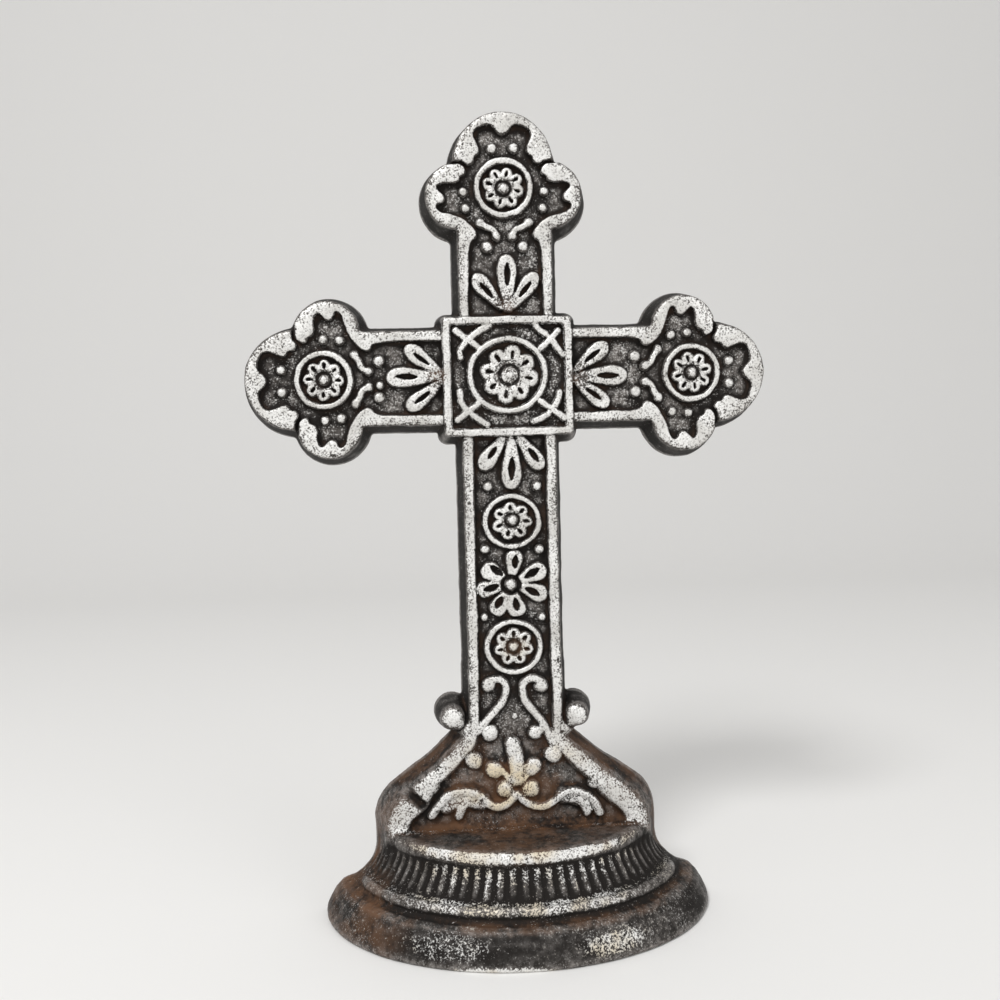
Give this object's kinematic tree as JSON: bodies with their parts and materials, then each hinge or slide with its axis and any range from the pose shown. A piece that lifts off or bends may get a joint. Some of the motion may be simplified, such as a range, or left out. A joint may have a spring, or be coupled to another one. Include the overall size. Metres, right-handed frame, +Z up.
{
  "type": "cast iron standing cross",
  "caption": "Standing botonny cross cast in one piece, with a medallion block, rings and sprays in relief, side volutes and a fluted half-round foot.",
  "frame": {"origin": "centre of the object's footprint box, on the ground under the foot", "axes": "+X to the viewer's right across the cross, front faces -Y, +Z up the shaft"},
  "size_m": [0.198, 0.0576, 0.3025],
  "materials": {
    "antiqued_iron": "rough sand-cast iron, dark brown-black in the recesses, silver-white dry brushing on the raised work, rust at the foot"
  },
  "bodies": {
    "root": {"cross": "antiqued_iron"}
  },
  "joints": []
}
